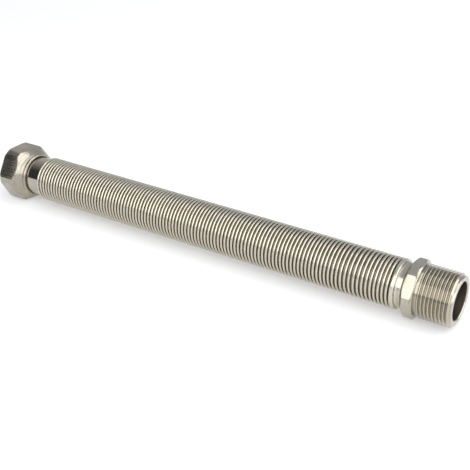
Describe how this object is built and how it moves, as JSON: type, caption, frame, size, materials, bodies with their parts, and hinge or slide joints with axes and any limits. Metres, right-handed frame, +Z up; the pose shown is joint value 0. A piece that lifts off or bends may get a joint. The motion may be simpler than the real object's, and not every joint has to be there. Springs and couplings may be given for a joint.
{
  "type": "corrugated stainless steel hose",
  "caption": "Short corrugated stainless steel hose with a loose swivel union nut at one end and a male threaded nipple with a hexagon at the other.",
  "frame": {"origin": "on the table under the middle of the hose, at the bottom centre of the whole part's box", "axes": "+X along the hose from the union nut to the male thread, +Z up, +Y away from the side that faced the camera"},
  "size_m": [0.276, 0.033, 0.03],
  "materials": {
    "tube_steel": "bright formed stainless steel",
    "tail_nickel": "polished nickel plate on brass",
    "nut_nickel": "bright nickel plate on brass",
    "nipple_nickel": "bright nickel plate on brass",
    "gasket_rubber": "matt"
  },
  "bodies": {
    "hose": {"corrugated_tube": "tube_steel", "swivel_tail": "tail_nickel", "male_nipple": "nipple_nickel"},
    "nut": {"union_nut": "nut_nickel", "flat_gasket": "gasket_rubber"}
  },
  "joints": [
    {"name": "nut_swivel", "type": "hinge", "parent": "hose", "child": "nut", "pos_m": [-0.1292, 0, 0.015], "axis": [1, 0, 0], "continuous": true}
  ]
}
